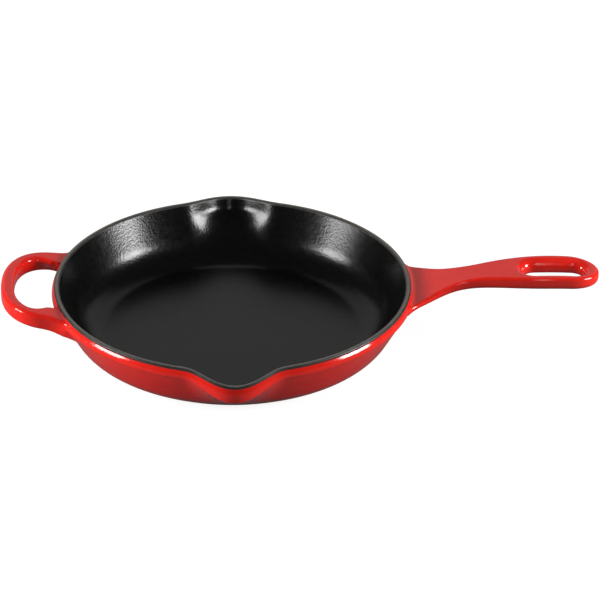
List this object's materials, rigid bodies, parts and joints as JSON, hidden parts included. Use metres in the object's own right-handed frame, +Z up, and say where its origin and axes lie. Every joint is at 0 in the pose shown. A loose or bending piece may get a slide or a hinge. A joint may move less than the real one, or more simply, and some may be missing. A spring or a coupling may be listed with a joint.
{
  "type": "cast iron skillet",
  "caption": "Round enamelled cast iron frying pan with a pouring lip on either side, a long slotted handle and a looped helper handle.",
  "frame": {"origin": "centre of the flat underside, on the surface that the skillet stands on", "axes": "+X along the long handle, -X towards the helper handle, +Y and -Y towards the pouring lips, +Z up"},
  "size_m": [0.45, 0.3018, 0.0563],
  "materials": {
    "iron": "as-cast grey iron under the enamel",
    "red_enamel": "gloss red vitreous enamel, faintly rippled by the casting",
    "rim_enamel": "satin dark grey ground coat enamel",
    "black_enamel": "satin black enamel with a fine orange-peel texture",
    "base_enamel": "matte black enamel on the cooking base"
  },
  "bodies": {
    "root": {"pan_casting": "iron", "long_handle_casting": "iron", "helper_handle_casting": "iron", "base_enamel": "base_enamel", "pan_enamel": "red_enamel", "rim_enamel": "rim_enamel", "interior_enamel": "black_enamel", "long_handle_enamel": "red_enamel", "helper_handle_enamel": "red_enamel"}
  },
  "joints": []
}
